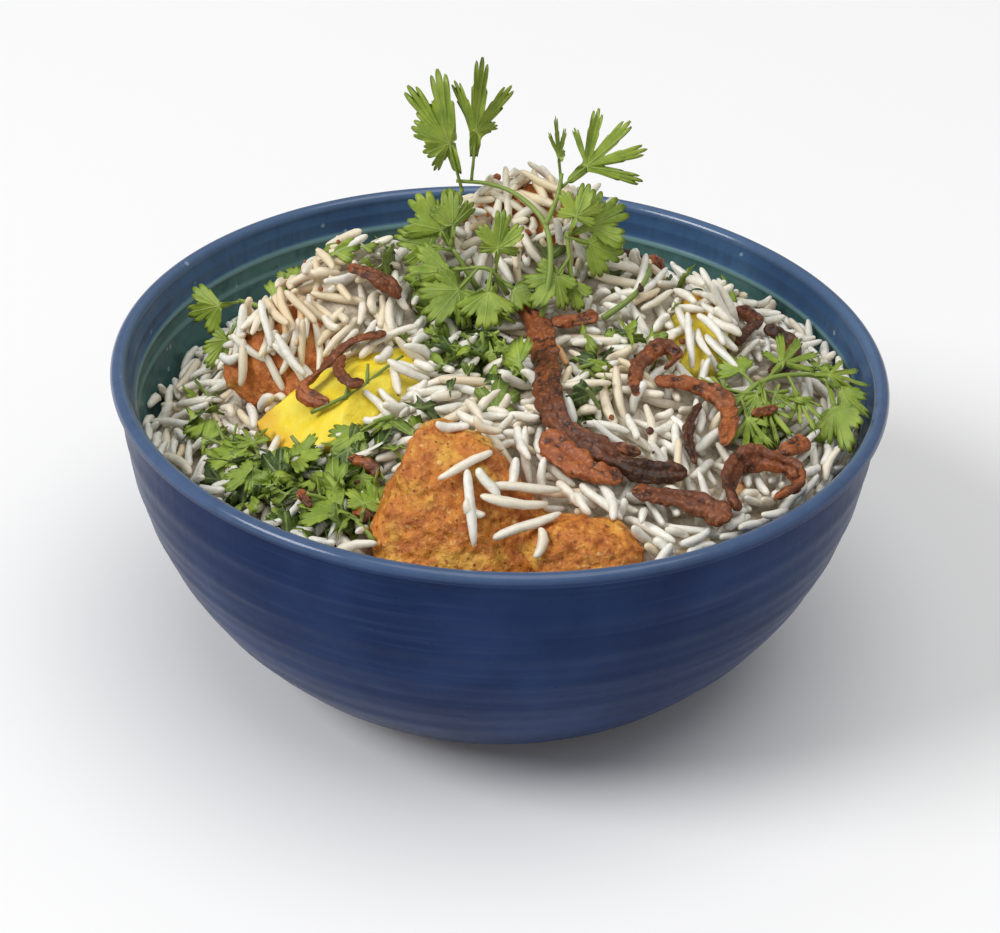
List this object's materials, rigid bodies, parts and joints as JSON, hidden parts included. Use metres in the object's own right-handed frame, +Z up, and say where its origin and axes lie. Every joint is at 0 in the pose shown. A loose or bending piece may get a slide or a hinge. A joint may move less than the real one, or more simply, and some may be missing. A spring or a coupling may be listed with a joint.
{
  "type": "bowl of chicken biryani",
  "caption": "Glazed stoneware bowl heaped with rice, spiced chicken, yellow potato, fried onion and fresh coriander, ready to serve.",
  "frame": {"origin": "middle of the bowl's foot, on the surface it stands on", "axes": "+Z up, +Y to the far side of the dish, -Y to the side with the large piece of chicken, +X to the right"},
  "size_m": [0.18, 0.18, 0.1394],
  "materials": {
    "stoneware": "satin to glossy dark blue glaze, teal inside below the rim",
    "rice": "cooked rice, moist and slightly translucent",
    "chicken": "spiced fried meat, oily with darker spots",
    "potato": "boiled potato stained yellow, moist",
    "fried_onion": "deep-fried onion, dark brown and oily",
    "coriander": "fresh leaf, satin"
  },
  "bodies": {
    "root": {"bowl": "stoneware", "chicken_back": "chicken", "chicken_front": "chicken", "chicken_left": "chicken", "coriander_front": "coriander", "coriander_front_left": "coriander", "coriander_left": "coriander", "coriander_low_front": "coriander", "coriander_low_left": "coriander", "coriander_low_right": "coriander", "coriander_right": "coriander", "coriander_rim": "coriander", "coriander_top": "coriander", "green_stalk": "coriander", "onion_arm": "fried_onion", "onion_back": "fried_onion", "onion_bend": "fried_onion", "onion_curl": "fried_onion", "onion_hook": "fried_onion", "onion_knot": "fried_onion", "onion_left_top": "fried_onion", "onion_low": "fried_onion", "onion_on_potato": "fried_onion", "onion_right_back": "fried_onion", "onion_right_edge": "fried_onion", "onion_ring": "fried_onion", "onion_stem": "fried_onion", "onion_thick": "fried_onion", "onion_tip": "fried_onion", "potato_left": "potato", "potato_right": "potato", "rice": "rice"}
  },
  "joints": []
}
